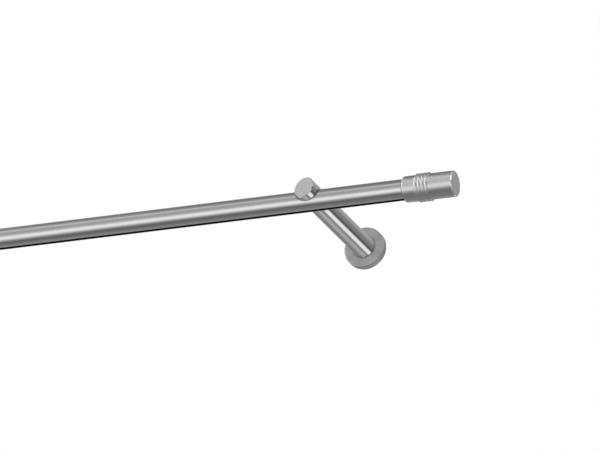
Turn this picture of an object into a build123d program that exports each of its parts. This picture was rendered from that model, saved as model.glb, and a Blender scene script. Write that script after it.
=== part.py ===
from build123d import *
import os

# Inner track curtain rod: a slotted round rod on two wall brackets, with end caps and sliding gliders.
# X runs along the rod, Y into the wall, Z up. The origin lies on the wall plane, midway between the
# four wall-screw holes. All sizes are in millimetres.

# Rod: a round extrusion whose glider channel opens downwards
ROD_DIAMETER = 20.0
ROD_LENGTH = 1000.0
ROD_WALL = 1.3
SLOT_WIDTH = 4.6
LEDGE_HEIGHT = 2.8
CHANNEL_HEIGHT = 5.2
WEB_THICKNESS = 1.2

# Brackets: a round arm on a turned rosette, notched from below for the rod. The arm's end is cut on
# a slant that looks left and up; the two slopes give its rise per millimetre across the arm.
ROD_TO_WALL = 144.5
BRACKET_INSET = 116.5
ARM_DIAMETER = 21.0
ARM_END_SLOPE_LEFT = 0.33
ARM_END_SLOPE_UP = 0.2
ARM_END_CHAMFER = 0.4
ARM_NOSE_WALL = 6.6
SADDLE_ROOF = 7.9
SADDLE_CLEARANCE = 0.1

ROSETTE_DIAMETER = 40.0
ROSETTE_THICKNESS = 7.0
ROSETTE_ROUNDING = 1.6
ROSETTE_RIM = 2.7
ROSETTE_FRONT = 2.2

# Wall plate inside each rosette
PLATE_CLEARANCE = 0.3
PLATE_FRONT_GAP = 0.4
WALL_SCREW_HOLE = 4.5
WALL_SCREW_HEAD = 8.6
WALL_SCREW_EDGE = 4.5
BOLT_HEAD_CLEARANCE = 1.2

# Bolt that holds the arm on the rosette
BOLT_DIAMETER = 6.0
BOLT_HEAD_DIAMETER = 10.5
BOLT_HEAD_HEIGHT = 2.4
BOLT_ENGAGEMENT = 16.0
BOLT_SOCKET = 4.0
BOLT_SOCKET_DEPTH = 1.4
BOLT_HOLE_RUNOUT = 1.5

# Grub screws
CLAMP_SCREW_DIAMETER = 5.0
CLAMP_SCREW_SOCKET = 2.5
CLAMP_SOCKET_DEPTH = 2.4
LOCK_SCREW_DIAMETER = 3.0
LOCK_SCREW_SOCKET = 1.5
LOCK_SOCKET_DEPTH = 1.0
SCREW_RECESS = 0.2
SCREW_TIP_GAP = 0.02
THREAD_GAP = 0.05

# End caps with four ridges
FINIAL_WALL = 2.1
FINIAL_CLEARANCE = 0.1
FINIAL_LENGTH = 49.3
FINIAL_SEAT = 22.3
FINIAL_MOUTH_ROUNDING = 1.4
MOUTH_ROUNDING_LIMIT = 0.9
FINIAL_END_CHAMFER = 0.8
FINIAL_SCREW_SETBACK = 7.0
RIDGE_COUNT = 4
RIDGE_PITCH = 3.5
RIDGE_START = 14.0
RIDGE_RADIUS = 1.5
RIDGE_HEIGHT = 1.2

# Gliders, parked against the left end cap
GLIDER_COUNT = 10
GLIDER_HEAD_WIDTH = 8.4
GLIDER_HEAD_LENGTH = 9.0
GLIDER_HEAD_HEIGHT = 3.2
GLIDER_HEAD_CHAMFER = 1.0
GLIDER_RUNNING_GAP = 0.1
GLIDER_SIDE_GAP = 0.35
GLIDER_NECK_LENGTH = 4.6
GLIDER_EYE_DIAMETER = 9.6
GLIDER_EYE_HOLE = 4.5
GLIDER_EYE_THICKNESS = 3.0
GLIDER_EYE_DROP = 0.8
GLIDER_EYE_SINK = 0.6
GLIDER_EYE_CHAMFER = 0.5
GLIDER_GAP = 0.4

# Places worked out from the sizes above
ROD_RADIUS = ROD_DIAMETER / 2
ARM_RADIUS = ARM_DIAMETER / 2
SADDLE_RADIUS = ROD_RADIUS + SADDLE_CLEARANCE
ROD_DROP = SADDLE_RADIUS + SADDLE_ROOF - ARM_RADIUS
ARM_END = ROD_TO_WALL + SADDLE_RADIUS + ARM_NOSE_WALL
BRACKET_X = ROD_LENGTH / 2 - BRACKET_INSET

CAVITY_RADIUS = ROSETTE_DIAMETER / 2 - ROSETTE_RIM
CAVITY_DEPTH = ROSETTE_THICKNESS - ROSETTE_FRONT
PLATE_RADIUS = CAVITY_RADIUS - PLATE_CLEARANCE
PLATE_THICKNESS = CAVITY_DEPTH - PLATE_FRONT_GAP
WALL_SCREW_HEIGHT = PLATE_RADIUS - WALL_SCREW_EDGE

FINIAL_BORE_RADIUS = ROD_RADIUS + FINIAL_CLEARANCE
FINIAL_RADIUS = FINIAL_BORE_RADIUS + FINIAL_WALL
FINIAL_MOUTH_X = ROD_LENGTH / 2 - FINIAL_SEAT

GLIDER_PITCH = max(GLIDER_EYE_DIAMETER, GLIDER_HEAD_LENGTH) + GLIDER_GAP
FIRST_GLIDER_X = -FINIAL_MOUTH_X + GLIDER_PITCH / 2

ROD_AXIS = Pos(0, -ROD_TO_WALL, -ROD_DROP)
SIDES = {"left": -1, "right": 1}
FROM_BASE = (Align.CENTER, Align.CENTER, Align.MIN)


def disc(radius, low, high):
    """A cylinder on the local Z axis between two heights."""
    return Pos(0, 0, low) * Cylinder(radius, high - low, align=FROM_BASE)


def socket_screw(diameter, length, socket, socket_depth):
    """A headless screw from height 0 up to its length, with a hexagon socket in its top."""
    body = disc(diameter / 2, 0, length)
    recess = extrude(RegularPolygon(socket / 2, 6, major_radius=False), socket_depth)
    return body - Pos(0, 0, length - socket_depth) * recess


def band(low, high):
    """A strip across the rod's section between two heights."""
    return Pos(0, (low + high) / 2) * Rectangle(ROD_DIAMETER, high - low)


def rod_profile():
    """Round extrusion: an upper hollow, a web, a glider channel and a slot between two ledges."""
    bore = Circle(ROD_RADIUS - ROD_WALL)
    ledge_top = LEDGE_HEIGHT - ROD_RADIUS
    web_bottom = ledge_top + CHANNEL_HEIGHT
    channel = bore & band(ledge_top, web_bottom)
    hollow = bore & band(web_bottom + WEB_THICKNESS, ROD_RADIUS)
    slot_middle = (web_bottom + ledge_top) / 2
    slot = Pos(0, slot_middle - ROD_RADIUS / 2) * Rectangle(SLOT_WIDTH, ROD_RADIUS)
    section = Circle(ROD_RADIUS) - hollow - channel - slot
    return ROD_AXIS * extrude(Plane.YZ * section, ROD_LENGTH / 2, both=True)


def on_wall(side):
    """Bracket frame on the wall: local Z points out into the room, local Y up."""
    return Plane((side * BRACKET_X, 0, 0), x_dir=(1, 0, 0), z_dir=(0, -1, 0))


def upright(height, out):
    """In a bracket frame, a place above the bracket's axis with local Z turned upwards."""
    return Pos(0, height, out) * Rot(-90, 0, 0)


def wall_plate():
    """Steel disc on the wall with two countersunk screw holes and room for the bolt head."""
    plate = disc(PLATE_RADIUS, 0, PLATE_THICKNESS)
    plate -= disc(BOLT_HEAD_DIAMETER / 2 + BOLT_HEAD_CLEARANCE, 0, PLATE_THICKNESS)
    sink_depth = (WALL_SCREW_HEAD - WALL_SCREW_HOLE) / 2
    sink = Cone(WALL_SCREW_HOLE / 2, WALL_SCREW_HEAD / 2, sink_depth, align=FROM_BASE)
    hole = disc(WALL_SCREW_HOLE / 2, 0, PLATE_THICKNESS) + Pos(0, 0, PLATE_THICKNESS - sink_depth) * sink
    for height in (WALL_SCREW_HEIGHT, -WALL_SCREW_HEIGHT):
        plate -= Pos(0, height) * hole
    return plate


def rosette():
    """Turned cup over the wall plate, with a rounded front edge and a lock-screw hole on top."""
    cup = disc(ROSETTE_DIAMETER / 2, 0, ROSETTE_THICKNESS)
    cup = fillet(cup.edges().sort_by(Axis.Z)[-1], ROSETTE_ROUNDING)
    cup -= disc(CAVITY_RADIUS, 0, CAVITY_DEPTH)
    cup -= disc(BOLT_DIAMETER / 2 + THREAD_GAP, CAVITY_DEPTH, ROSETTE_THICKNESS)
    hole = disc(LOCK_SCREW_DIAMETER / 2 + THREAD_GAP, 0, ROSETTE_DIAMETER / 2)
    return cup - upright(0, PLATE_THICKNESS / 2) * hole


def rosette_screw():
    """Lock screw in the rosette's rim, set against the edge of the wall plate."""
    length = ROSETTE_DIAMETER / 2 - SCREW_RECESS - PLATE_RADIUS - SCREW_TIP_GAP
    screw = socket_screw(LOCK_SCREW_DIAMETER, length, LOCK_SCREW_SOCKET, LOCK_SOCKET_DEPTH)
    return upright(PLATE_RADIUS + SCREW_TIP_GAP, PLATE_THICKNESS / 2) * screw


def arm_bolt():
    """Flat-headed bolt through the rosette's front into the arm, with a hexagon socket."""
    bolt = disc(BOLT_DIAMETER / 2, CAVITY_DEPTH, ROSETTE_THICKNESS + BOLT_ENGAGEMENT)
    head_back = CAVITY_DEPTH - BOLT_HEAD_HEIGHT
    bolt += disc(BOLT_HEAD_DIAMETER / 2, head_back, CAVITY_DEPTH)
    recess = extrude(RegularPolygon(BOLT_SOCKET / 2, 6, major_radius=False), BOLT_SOCKET_DEPTH)
    return bolt - Pos(0, 0, head_back) * recess


def arm():
    """Round bar with a slanted end and a cross bore that breaks out of its underside."""
    bar = disc(ARM_RADIUS, ROSETTE_THICKNESS, ARM_END + ARM_DIAMETER)
    end_face = Plane((0, 0, ARM_END), z_dir=(-ARM_END_SLOPE_LEFT, ARM_END_SLOPE_UP, 1))
    bar = split(bar, bisect_by=end_face, keep=Keep.BOTTOM)
    bar = chamfer(bar.faces().sort_by(Axis.Z)[-1].edges(), ARM_END_CHAMFER)
    saddle = Rot(0, 90, 0) * Cylinder(SADDLE_RADIUS, 2 * ARM_DIAMETER)
    bar -= Pos(0, -ROD_DROP, ROD_TO_WALL) * saddle
    bolt_hole_end = ROSETTE_THICKNESS + BOLT_ENGAGEMENT + BOLT_HOLE_RUNOUT
    bar -= disc(BOLT_DIAMETER / 2 + THREAD_GAP, ROSETTE_THICKNESS, bolt_hole_end)
    hole = disc(CLAMP_SCREW_DIAMETER / 2 + THREAD_GAP, 0, ARM_RADIUS + ROD_DROP)
    return bar - upright(-ROD_DROP, ROD_TO_WALL) * hole


def clamp_screw():
    """Grub screw from the top of the arm down onto the rod."""
    tip = ROD_RADIUS - ROD_DROP + SCREW_TIP_GAP
    length = ARM_RADIUS - SCREW_RECESS - tip
    screw = socket_screw(CLAMP_SCREW_DIAMETER, length, CLAMP_SCREW_SOCKET, CLAMP_SOCKET_DEPTH)
    return upright(tip, ROD_TO_WALL) * screw


def on_rod_end(side):
    """End-cap frame at the cap's mouth: local Z points along the rod away from its middle."""
    mouth = (side * FINIAL_MOUTH_X, -ROD_TO_WALL, -ROD_DROP)
    return Plane(mouth, x_dir=(0, side, 0), z_dir=(side, 0, 0))


def finial():
    """Turned cap: rounded mouth, four ridges, plain barrel with a chamfered end, blind bore."""
    rounding = min(FINIAL_MOUTH_ROUNDING, MOUTH_ROUNDING_LIMIT * FINIAL_WALL)
    cap = disc(FINIAL_RADIUS, 0, FINIAL_LENGTH)
    cap = chamfer(cap.edges().sort_by(Axis.Z)[-1], FINIAL_END_CHAMFER)
    cap = fillet(cap.edges().sort_by(Axis.Z)[0], rounding)
    ridge = Torus(FINIAL_RADIUS + RIDGE_HEIGHT - RIDGE_RADIUS, RIDGE_RADIUS)
    for index in range(RIDGE_COUNT):
        cap += Pos(0, 0, RIDGE_START + index * RIDGE_PITCH) * ridge
    cap -= disc(FINIAL_BORE_RADIUS, 0, FINIAL_SEAT)
    hole = disc(LOCK_SCREW_DIAMETER / 2 + THREAD_GAP, 0, FINIAL_RADIUS)
    return cap - upright(0, FINIAL_SCREW_SETBACK) * hole


def finial_screw():
    """Lock screw on top of the cap, set against the rod."""
    tip = ROD_RADIUS + SCREW_TIP_GAP
    length = FINIAL_RADIUS - SCREW_RECESS - tip
    screw = socket_screw(LOCK_SCREW_DIAMETER, length, LOCK_SCREW_SOCKET, LOCK_SOCKET_DEPTH)
    return upright(tip, FINIAL_SCREW_SETBACK) * screw


def glider():
    """Moulded glider at the rod's middle: a bevelled head on the ledges, a neck and a flat eye below."""
    head_low = LEDGE_HEIGHT - ROD_RADIUS + GLIDER_RUNNING_GAP
    head = Pos(0, 0, head_low) * Box(GLIDER_HEAD_LENGTH, GLIDER_HEAD_WIDTH, GLIDER_HEAD_HEIGHT,
                                     align=FROM_BASE)
    head = chamfer(head.edges().filter_by(Axis.Z), GLIDER_HEAD_CHAMFER)
    head = chamfer(head.faces().sort_by(Axis.Z)[-1].edges(), GLIDER_HEAD_CHAMFER)
    eye_top = -ROD_RADIUS - GLIDER_EYE_DROP
    neck_height = head_low - eye_top + GLIDER_EYE_SINK
    neck = Pos(0, 0, eye_top - GLIDER_EYE_SINK) * Box(
        GLIDER_NECK_LENGTH, SLOT_WIDTH - 2 * GLIDER_SIDE_GAP, neck_height, align=FROM_BASE)
    ring = Cylinder(GLIDER_EYE_DIAMETER / 2, GLIDER_EYE_THICKNESS)
    ring = chamfer(ring.edges().filter_by(GeomType.CIRCLE), GLIDER_EYE_CHAMFER)
    ring -= Cylinder(GLIDER_EYE_HOLE / 2, GLIDER_EYE_THICKNESS)
    eye = Pos(0, 0, eye_top - GLIDER_EYE_DIAMETER / 2) * Rot(90, 0, 0) * ring
    return ROD_AXIS * (head + neck + eye)


def build():
    """All pieces of the set, each under its own name."""
    pieces = {"rod_profile": rod_profile()}
    bracket = {
        "wall_plate": wall_plate(),
        "rosette": rosette(),
        "rosette_screw": rosette_screw(),
        "arm": arm(),
        "arm_bolt": arm_bolt(),
        "clamp_screw": clamp_screw(),
    }
    end = {"finial": finial(), "finial_screw": finial_screw()}
    for side_name, side in SIDES.items():
        for name, shape in bracket.items():
            pieces[f"{name}_{side_name}"] = on_wall(side) * shape
        for name, shape in end.items():
            pieces[f"{name}_{side_name}"] = on_rod_end(side) * shape
    master = glider()
    for index in range(GLIDER_COUNT):
        place = Pos(FIRST_GLIDER_X + index * GLIDER_PITCH, 0, 0)
        pieces[f"glider_{index + 1:02d}"] = place * master
    return pieces


os.makedirs("parts", exist_ok=True)
for node, piece in build().items():
    export_step(piece, f"parts/{node}.step")
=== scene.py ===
import math

import bpy
from mathutils import Matrix, Vector


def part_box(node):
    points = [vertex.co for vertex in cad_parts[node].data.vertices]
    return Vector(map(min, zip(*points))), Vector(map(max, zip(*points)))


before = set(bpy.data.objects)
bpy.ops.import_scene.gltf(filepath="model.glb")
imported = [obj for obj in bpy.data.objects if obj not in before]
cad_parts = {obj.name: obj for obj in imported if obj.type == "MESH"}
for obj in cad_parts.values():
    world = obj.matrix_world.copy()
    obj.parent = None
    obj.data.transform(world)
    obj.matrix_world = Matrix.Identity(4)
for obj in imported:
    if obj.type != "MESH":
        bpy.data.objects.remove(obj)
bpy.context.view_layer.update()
scene = bpy.context.scene

# Lengths are in metres, apart from the camera's lens and sensor. The rod runs along x, and y points
# from the room into the wall.

# Camera: the photograph looks up at the rod from the room, from the right. The middle of the picture is
# given from the rod's right end, and the far clip in distances from the camera to that middle.
CAMERA_AZIMUTH = math.radians(22.0)
CAMERA_ELEVATION = math.radians(-22.0)
CAMERA_ROLL = math.radians(1.66)
CAMERA_LENS_MM = 600.0
CAMERA_SENSOR_MM = 36.0
CAMERA_FAR_CLIP = 10.0
VIEW_WIDTH = 0.5506
AIM_RIGHT = -0.1176
AIM_UP = -0.0350

# Stage: the floor, and the world's level as light on the object and as background
FLOOR_HEIGHT = -40.0
FLOOR_SIZE = 400.0
FLOOR_GREY = 0.93
FLOOR_ROUGHNESS = 0.9
AMBIENT_LEVEL = 0.9
WHITE_LEVEL = 1.0

# Light tent, seen only by reflections: the light it sends by height of the direction (-1 down, 1 up),
# on the side of the room and on the side of the wall. One side fades into the other over the blend,
# which is given by the direction's y.
TENT_RADIUS = 3.5
TENT_SEGMENTS = 48
TENT_RINGS = 24
TENT_ROOM_SIDE = (
    (-1.00, 0.30), (-0.82, 0.15), (-0.68, 0.40), (-0.40, 1.25), (-0.20, 1.36), (0.15, 0.65),
    (0.35, 0.50), (0.60, 0.55), (0.77, 0.85), (0.88, 0.35), (1.00, 0.30),
)
TENT_WALL_SIDE = (
    (-1.00, 0.20), (-0.85, 0.40), (-0.65, 0.25), (-0.40, 0.40), (-0.10, 0.27), (0.12, 0.30),
    (0.30, 0.34), (0.43, 0.50), (0.65, 0.50), (0.85, 0.30), (0.95, 0.15),
)
TENT_BLEND = (-0.15, 0.30)
# Soft boxes, and flags with a negative level: direction, inner and outer angle in degrees, level
TENT_PATCHES = {
    "strip_behind_below": ((0.32, 0.86, -0.40), 4.0, 13.0, 1.0),
    "fill_behind_below": ((-0.18, 0.86, -0.48), 4.0, 13.0, 0.25),
    "flag_behind": ((0.46, 0.86, -0.20), 3.0, 11.0, -0.18),
    "fill_left_above": ((-0.70, -0.36, 0.61), 8.0, 22.0, 0.1),
    "box_left_above": ((-0.78, 0.14, 0.61), 6.0, 20.0, 4.4),
    "box_left": ((-0.93, -0.18, 0.30), 6.0, 18.0, 4.2),
    "box_right_above": ((0.84, -0.30, 0.46), 10.0, 22.0, 1.6),
    "box_right_top": ((0.50, 0.20, 0.85), 8.0, 22.0, 0.5),
    "fill_front_above": ((0.15, -0.80, 0.58), 8.0, 24.0, 0.5),
    "fill_left": ((-0.80, -0.56, 0.20), 6.0, 22.0, 0.6),
    "flag_front_right": ((0.66, -0.64, 0.38), 8.0, 22.0, -0.4),
    "flag_right": ((0.90, -0.40, -0.10), 15.0, 38.0, -0.5),
}

# Places read from the frame
rod_low, rod_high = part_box("rod_profile")
ROD_RADIUS = (rod_high.y - rod_low.y) / 2
ROD_AXIS_Y = (rod_high.y + rod_low.y) / 2
ROD_AXIS_Z = rod_high.z - ROD_RADIUS
arm_low, arm_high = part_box("arm_right")
BRACKET_X = (arm_low.x + arm_high.x) / 2
rosette_low, rosette_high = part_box("rosette_right")
ROSETTE_RADIUS = (rosette_high.x - rosette_low.x) / 2
CAP_END_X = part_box("finial_right")[1].x

# Directions along and across the rod's axis (x) and a bracket's axis (y)
ALONG_ROD = (1.0, 0.0, 0.0)
ACROSS_ROD = (0.0, 1.0, 1.0)
ALONG_BRACKET = (0.0, 1.0, 0.0)
ACROSS_BRACKET = (1.0, 0.0, 1.0)

# Finishes: the grey of each material (a range for the plastic), and its roughness from the lowest to the
# highest grain. A skin or edge is the depth from a piece's outside to which its outer finish reaches;
# below the rod's skin its channel has painted shade, and within a rosette's or cap's edge there is
# painted light.
ROD_GREY = 0.60
ROD_ROUGHNESS = (0.16, 0.22)
ROD_SKIN = 0.0001
# Painted shade: near-black grey inside the rod's channel, which also reflects nothing there
CHANNEL_SHADE_GREY = 0.004
ARM_GREY = 0.60
ARM_ROUGHNESS = (0.13, 0.19)
ROSETTE_GREY = 0.40
ROSETTE_ROUGHNESS = (0.50, 0.58)
ROSETTE_EDGE = 0.0002
# Painted light: the rosette's rim is given a lighter grey than its face
ROSETTE_RIM_LIT_GREY = 0.56
FINIAL_GREY = 0.60
FINIAL_ROUGHNESS = (0.34, 0.42)
FINIAL_EDGE = 0.0008
# Painted light: the cap's end is given a lighter grey than its barrel
FINIAL_END_LIT_GREY = 0.70
ZINC_GREY = 0.55
ZINC_ROUGHNESS = (0.30, 0.45)
SCREW_GREY = 0.42
SCREW_ROUGHNESS = (0.28, 0.40)
PLASTIC_GREY = (0.78, 0.85)
PLASTIC_ROUGHNESS = (0.36, 0.48)

# Share of the roughness left on the end of a cap, how far turning draws out the highlights of a cap, and
# the lean of their direction off the rod's axis, which keeps it from vanishing on the end face
FINIAL_POLISH = 0.6
FINIAL_DRAWN_OUT = 0.95
FINIAL_LEAN = 0.01

# Tints, as shares of red, green and blue
METAL_TINT = (1.0, 1.0, 0.984)
FINIAL_TINT = (1.0, 0.980, 0.956)
PLASTIC_TINT = (1.0, 1.0, 0.99)

# Grain: noise periods per metre along and across brushing, around turning, in plated, plain and moulded
# skins and in slow clouds, and per unit of direction for the painted sheen fan on a rosette's face. All
# noise has the same number of finer layers.
BRUSH_ALONG = 12.0
BRUSH_ACROSS = 1600.0
RING_SCALE = 1500.0
ZINC_SCALE = 600.0
SCREW_SCALE = 2500.0
PLASTIC_SCALE = 1800.0
CLOUD_SCALE = 25.0
SHEEN_FAN_SCALE = 3.0
NOISE_DETAIL = 3.0

# Spread of tone by grain and cloud, as a share of the grey, and by the painted sheen fan, as grey;
# relief of the grain
TONE_SPREAD = 0.025
SHEEN_FAN_SPREAD = 0.08
BRUSH_DEPTH = 0.00001
SKIN_DEPTH = 0.00003
BUMP_STRENGTH = 0.4

# Painted shade where surfaces come close, drawn as a dark line: its reach, the share of the grey left in
# it, and the range of a surface's openness over which it fades out
CONTACT_SHADE_REACH = 0.0025
CONTACT_SHADE_TONE = 0.22
ROSETTE_CONTACT_SHADE_TONE = 0.60
CONTACT_SHADE_OPENNESS = (0.62, 0.92)


class Shading:
    """The node tree of a material or world, with short calls for the nodes used here."""

    def __init__(self, owner, shader="Principled BSDF"):
        owner.use_nodes = True
        self.tree = owner.node_tree
        self.shader = self.tree.nodes[shader]

    def add(self, kind, inputs, **settings):
        """A new node with its inputs and settings."""
        node = self.tree.nodes.new("ShaderNode" + kind)
        for name, value in settings.items():
            setattr(node, name, value)
        for key, value in inputs.items():
            self.feed(node.inputs[key], value)
        return node

    def feed(self, socket, value):
        """Links an input to another node's output, or sets it to a constant."""
        if isinstance(value, bpy.types.NodeSocket):
            self.tree.links.new(value, socket)
        else:
            socket.default_value = value

    def feed_shader(self, **values):
        """Inputs of the main shader, with _ for each space in a name."""
        for name, value in values.items():
            self.feed(self.shader.inputs[name.replace("_", " ")], value)

    def math(self, operation, first, second=0.0):
        return self.add("Math", {0: first, 1: second}, operation=operation).outputs["Value"]

    def vector(self, operation, first, second=(0.0, 0.0, 0.0)):
        node = self.add("VectorMath", {0: first, 1: second}, operation=operation)
        scalar = operation in ("LENGTH", "DOT_PRODUCT")
        return node.outputs["Value" if scalar else "Vector"]

    def grade(self, value, low, high, start=0.0, end=1.0):
        """A value faded smoothly from low to high between start and end."""
        return self.add("MapRange", {
            "Value": value, "From Min": start, "From Max": end, "To Min": low, "To Max": high,
        }, interpolation_type="SMOOTHSTEP").outputs["Result"]

    def outer(self, distance, outside, depth):
        """1 down to a depth below the outside, faded to 0 at twice that depth."""
        return self.grade(distance, 0.0, 1.0, outside - 2 * depth, outside - depth)

    def mix(self, factor, first, second):
        return self.add("Mix", {"Factor": factor, "A": first, "B": second}).outputs["Result"]

    def noise(self, place, stretch):
        """Noise between 0 and 1, stretched by a scale for each axis."""
        scaled = self.vector("MULTIPLY", place, stretch)
        return self.add("TexNoise", {
            "Vector": scaled, "Scale": 1.0, "Detail": NOISE_DETAIL}).outputs["Fac"]

    def place(self):
        """Place of each surface point in its object's frame, which is the part's for the CAD nodes."""
        return self.add("TexCoord", {}).outputs["Object"]

    def painted_contact_shade(self, grey, tone=CONTACT_SHADE_TONE):
        """A grey with painted shade, a dark line where other surfaces come close."""
        openness = self.add("AmbientOcclusion", {"Distance": CONTACT_SHADE_REACH}).outputs["AO"]
        return self.math("MULTIPLY", self.grade(openness, tone, 1.0, *CONTACT_SHADE_OPENNESS), grey)

    def tinted(self, level, tint):
        """A grey level in a faint tint."""
        return self.add("VectorMath", {0: tint, "Scale": level}, operation="SCALE").outputs["Vector"]

    def bump(self, height, depth):
        return self.add("Bump", {
            "Height": height, "Distance": depth, "Strength": BUMP_STRENGTH}).outputs["Normal"]


def new_shading(name):
    material = bpy.data.materials.new(name)
    return material, Shading(material)


def plain_grey(level):
    """An opaque grey as a colour."""
    return (level, level, level, 1.0)


def make_camera():
    """Camera at the photograph's viewing angle, aimed to the left of and below the rod's right end."""
    rotation = (Matrix.Rotation(CAMERA_AZIMUTH, 3, "Z")
                @ Matrix.Rotation(math.pi / 2 - CAMERA_ELEVATION, 3, "X")
                @ Matrix.Rotation(CAMERA_ROLL, 3, "Z"))
    right, up, back = rotation.col
    aim = Vector((rod_high.x, ROD_AXIS_Y, ROD_AXIS_Z)) + right * AIM_RIGHT + up * AIM_UP
    distance = VIEW_WIDTH * CAMERA_LENS_MM / CAMERA_SENSOR_MM
    data = bpy.data.cameras.new("photo_camera")
    data.lens = CAMERA_LENS_MM
    data.sensor_width = CAMERA_SENSOR_MM
    data.clip_end = CAMERA_FAR_CLIP * distance
    camera = bpy.data.objects.new("photo_camera", data)
    camera.matrix_world = Matrix.Translation(aim + back * distance) @ rotation.to_4x4()
    scene.collection.objects.link(camera)
    scene.camera = camera


def make_world():
    """White for the camera and for reflections, a plain soft level for the light on the object."""
    world = bpy.data.worlds.new("studio_world")
    scene.world = world
    shading = Shading(world, "Background")
    path = shading.add("LightPath", {})
    seen = shading.math("MAXIMUM", path.outputs["Is Camera Ray"], path.outputs["Is Glossy Ray"])
    seen = shading.math("MAXIMUM", seen, path.outputs["Is Transmission Ray"])
    shading.feed_shader(Color=plain_grey(1.0), Strength=shading.mix(seen, AMBIENT_LEVEL, WHITE_LEVEL))


def make_floor():
    """Plain pale floor far below the rod."""
    bpy.ops.mesh.primitive_plane_add(size=FLOOR_SIZE, location=(0.0, 0.0, FLOOR_HEIGHT))
    floor = bpy.context.object
    floor.name = "floor"
    material, shading = new_shading("floor_paint")
    shading.feed_shader(Base_Color=plain_grey(FLOOR_GREY), Roughness=FLOOR_ROUGHNESS)
    floor.data.materials.append(material)


def height_ramp(shading, height, stops):
    """Level by height of a direction, through the given stops; heights from -1 to 1 fill the ramp."""
    ramp = shading.add("ValToRGB", {"Fac": shading.math("DIVIDE", shading.math("ADD", height, 1.0), 2.0)})
    elements = ramp.color_ramp.elements
    while len(elements) < len(stops):
        elements.new(1.0)
    for element, (place, level) in zip(elements, stops):
        element.position = (place + 1.0) / 2.0
        element.color = plain_grey(level)
    return ramp.outputs["Color"]


def make_tent():
    """Light tent around the part that only its reflections see."""
    bpy.ops.mesh.primitive_uv_sphere_add(
        radius=TENT_RADIUS, segments=TENT_SEGMENTS, ring_count=TENT_RINGS,
        location=(BRACKET_X, ROD_AXIS_Y, ROD_AXIS_Z))
    tent = bpy.context.object
    tent.name = "light_tent"
    tent.visible_camera = False
    tent.visible_diffuse = False
    tent.visible_shadow = False
    tent.visible_transmission = False
    material, shading = new_shading("tent_cloth")
    direction = shading.vector("NORMALIZE", shading.place())
    axes = shading.add("SeparateXYZ", {"Vector": direction})
    room_side = height_ramp(shading, axes.outputs["Z"], TENT_ROOM_SIDE)
    wall_side = height_ramp(shading, axes.outputs["Z"], TENT_WALL_SIDE)
    level = shading.mix(shading.grade(axes.outputs["Y"], 0.0, 1.0, *TENT_BLEND), room_side, wall_side)
    for towards, inner, outer, strength in TENT_PATCHES.values():
        cosine = shading.vector("DOT_PRODUCT", direction, Vector(towards).normalized())
        edges = math.cos(math.radians(outer)), math.cos(math.radians(inner))
        level = shading.math("ADD", level, shading.grade(cosine, 0.0, strength, *edges))
    level = shading.math("MAXIMUM", level, 0.0)
    shading.feed_shader(Base_Color=plain_grey(0.0), Specular_IOR_Level=0.0,
                        Emission_Color=plain_grey(1.0), Emission_Strength=level)
    tent.data.materials.append(material)


def metal_surface(shading, grain, grey, tint, roughness, depth):
    """Metal whose tone follows a grain and a slow cloud, with the grain's relief."""
    tone = grey
    for pattern in (grain, shading.noise(shading.place(), (CLOUD_SCALE,) * 3)):
        tone = shading.math("MULTIPLY", tone, shading.grade(pattern, 1 - TONE_SPREAD, 1 + TONE_SPREAD))
    shading.feed_shader(Metallic=1.0, Base_Color=shading.tinted(tone, tint),
                        Roughness=roughness, Normal=shading.bump(grain, depth))


def rod_metal():
    """Extrusion brushed along its length, with painted contact shade, and painted shade inside its
    channel: near-black and without reflection.
    """
    material, shading = new_shading("rod_metal")
    place = shading.place()
    grain = shading.noise(place, (BRUSH_ALONG, BRUSH_ACROSS, BRUSH_ACROSS))
    offset = shading.vector("SUBTRACT", place, (0.0, ROD_AXIS_Y, ROD_AXIS_Z))
    radius = shading.vector("LENGTH", shading.vector("MULTIPLY", offset, ACROSS_ROD))
    skin = shading.outer(radius, ROD_RADIUS, ROD_SKIN)
    # Painted shade: near-black inside the channel, and a painted dark line where surfaces come close
    # outside it
    grey = shading.mix(skin, CHANNEL_SHADE_GREY, shading.painted_contact_shade(ROD_GREY))
    metal_surface(shading, grain, grey, METAL_TINT, shading.grade(grain, *ROD_ROUGHNESS), BRUSH_DEPTH)
    shading.feed_shader(Metallic=skin, Specular_IOR_Level=0.0)
    return material


def arm_metal():
    """Bar brushed along its length, with painted contact shade."""
    material, shading = new_shading("arm_metal")
    grain = shading.noise(shading.place(), (BRUSH_ACROSS, BRUSH_ALONG, BRUSH_ACROSS))
    metal_surface(shading, grain, shading.painted_contact_shade(ARM_GREY), METAL_TINT,
                  shading.grade(grain, *ARM_ROUGHNESS), BRUSH_DEPTH)
    return material


def turning_grain(shading, radius, depth):
    """Fine rings by distance from a turning axis and by depth along it."""
    rings = shading.add("CombineXYZ", {"X": radius, "Y": depth}).outputs["Vector"]
    return shading.noise(rings, (RING_SCALE, RING_SCALE, 0.0))


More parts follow.
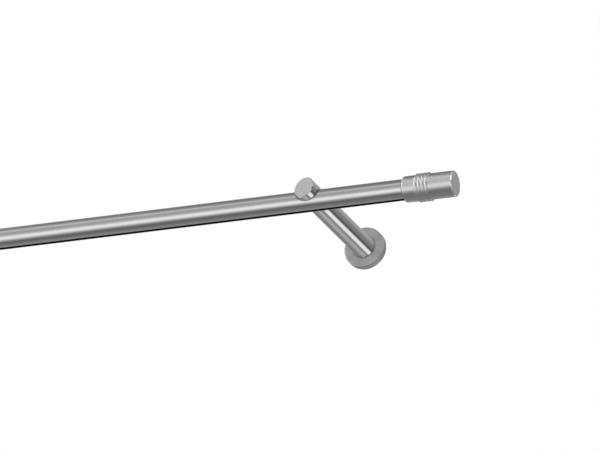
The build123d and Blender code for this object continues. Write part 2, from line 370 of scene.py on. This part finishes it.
def rosette_metal():
    """Satin disc turned around its bracket's axis, with a faint painted sheen fan on its face,
    a rim painted lighter and painted contact shade.

    The left disc's places are mirrored onto the right one's, so that one material serves both.
    """
    material, shading = new_shading("rosette_metal")
    mirrored = shading.vector("ABSOLUTE", shading.place())
    offset = shading.vector("SUBTRACT", mirrored, (BRACKET_X, 0.0, 0.0))
    flat = shading.vector("MULTIPLY", offset, ACROSS_BRACKET)
    radius = shading.vector("LENGTH", flat)
    grain = turning_grain(shading, radius, shading.vector("DOT_PRODUCT", offset, ALONG_BRACKET))
    # Painted sheen: faint lighter and darker sectors fanning around the rosette's face
    sheen_fan = shading.noise(shading.vector("NORMALIZE", flat), (SHEEN_FAN_SCALE,) * 3)
    face = shading.math("ADD", ROSETTE_GREY, shading.grade(sheen_fan, -SHEEN_FAN_SPREAD, SHEEN_FAN_SPREAD))
    # Painted light: the rim is lighter than the face
    grey = shading.mix(shading.outer(radius, ROSETTE_RADIUS, ROSETTE_EDGE), face, ROSETTE_RIM_LIT_GREY)
    metal_surface(shading, grain, shading.painted_contact_shade(grey, ROSETTE_CONTACT_SHADE_TONE), METAL_TINT,
                  shading.grade(grain, *ROSETTE_ROUGHNESS), BRUSH_DEPTH)
    return material


def finial_metal():
    """Satin cap turned around the rod's axis, with a smoother end that is painted lighter as well."""
    material, shading = new_shading("finial_metal")
    offset = shading.vector("SUBTRACT", shading.place(), (0.0, ROD_AXIS_Y, ROD_AXIS_Z))
    radius = shading.vector("LENGTH", shading.vector("MULTIPLY", offset, ACROSS_ROD))
    depth = shading.vector("DOT_PRODUCT", offset, ALONG_ROD)
    grain = turning_grain(shading, radius, depth)
    end = shading.outer(shading.math("ABSOLUTE", depth), CAP_END_X, FINIAL_EDGE)
    # Painted light: the end is lighter than the barrel; its smoother polish is real
    grey = shading.mix(end, FINIAL_GREY, FINIAL_END_LIT_GREY)
    polish = shading.mix(end, 1.0, FINIAL_POLISH)
    roughness = shading.math("MULTIPLY", shading.grade(grain, *FINIAL_ROUGHNESS), polish)
    metal_surface(shading, grain, grey, FINIAL_TINT, roughness, BRUSH_DEPTH)
    tangent = shading.add("CombineXYZ", {"X": 1.0, "Z": FINIAL_LEAN}).outputs["Vector"]
    shading.feed_shader(Anisotropic=FINIAL_DRAWN_OUT, Tangent=tangent)
    return material


def zinc_plate():
    """Zinc-plated steel with a faint mottle and painted contact shade."""
    material, shading = new_shading("zinc_plate")
    grain = shading.noise(shading.place(), (ZINC_SCALE,) * 3)
    metal_surface(shading, grain, shading.painted_contact_shade(ZINC_GREY), METAL_TINT,
                  shading.grade(grain, *ZINC_ROUGHNESS), SKIN_DEPTH)
    return material


def screw_metal():
    """Plain dark steel of the screws."""
    material, shading = new_shading("screw_metal")
    grain = shading.noise(shading.place(), (SCREW_SCALE,) * 3)
    metal_surface(shading, grain, SCREW_GREY, METAL_TINT,
                  shading.grade(grain, *SCREW_ROUGHNESS), SKIN_DEPTH)
    return material


def glider_plastic():
    """White moulded plastic, slightly glossy, with a fine moulded grain."""
    material, shading = new_shading("glider_plastic")
    place = shading.place()
    grain = shading.noise(place, (PLASTIC_SCALE,) * 3)
    cloud = shading.noise(place, (CLOUD_SCALE,) * 3)
    shading.feed_shader(
        Base_Color=shading.tinted(shading.grade(cloud, *PLASTIC_GREY), PLASTIC_TINT),
        Roughness=shading.grade(grain, *PLASTIC_ROUGHNESS), Normal=shading.bump(grain, SKIN_DEPTH))
    return material


def dress_nodes():
    """A finish for each node, by the first start that fits its name.

    As in the photograph, the pieces mirror their surroundings but not each other.
    """
    screws = screw_metal()
    finishes = {
        "rosette_screw": screws, "finial_screw": screws, "clamp_screw": screws, "arm_bolt": screws,
        "rod_profile": rod_metal(), "arm": arm_metal(), "rosette": rosette_metal(),
        "finial": finial_metal(), "wall_plate": zinc_plate(), "glider": glider_plastic(),
    }
    for name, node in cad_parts.items():
        finish = next(finishes[start] for start in finishes if name.startswith(start))
        for slot in node.material_slots:
            slot.material = finish
        node.visible_glossy = False


dress_nodes()
make_camera()
make_world()
make_floor()
make_tent()
scene.view_settings.view_transform = "Standard"
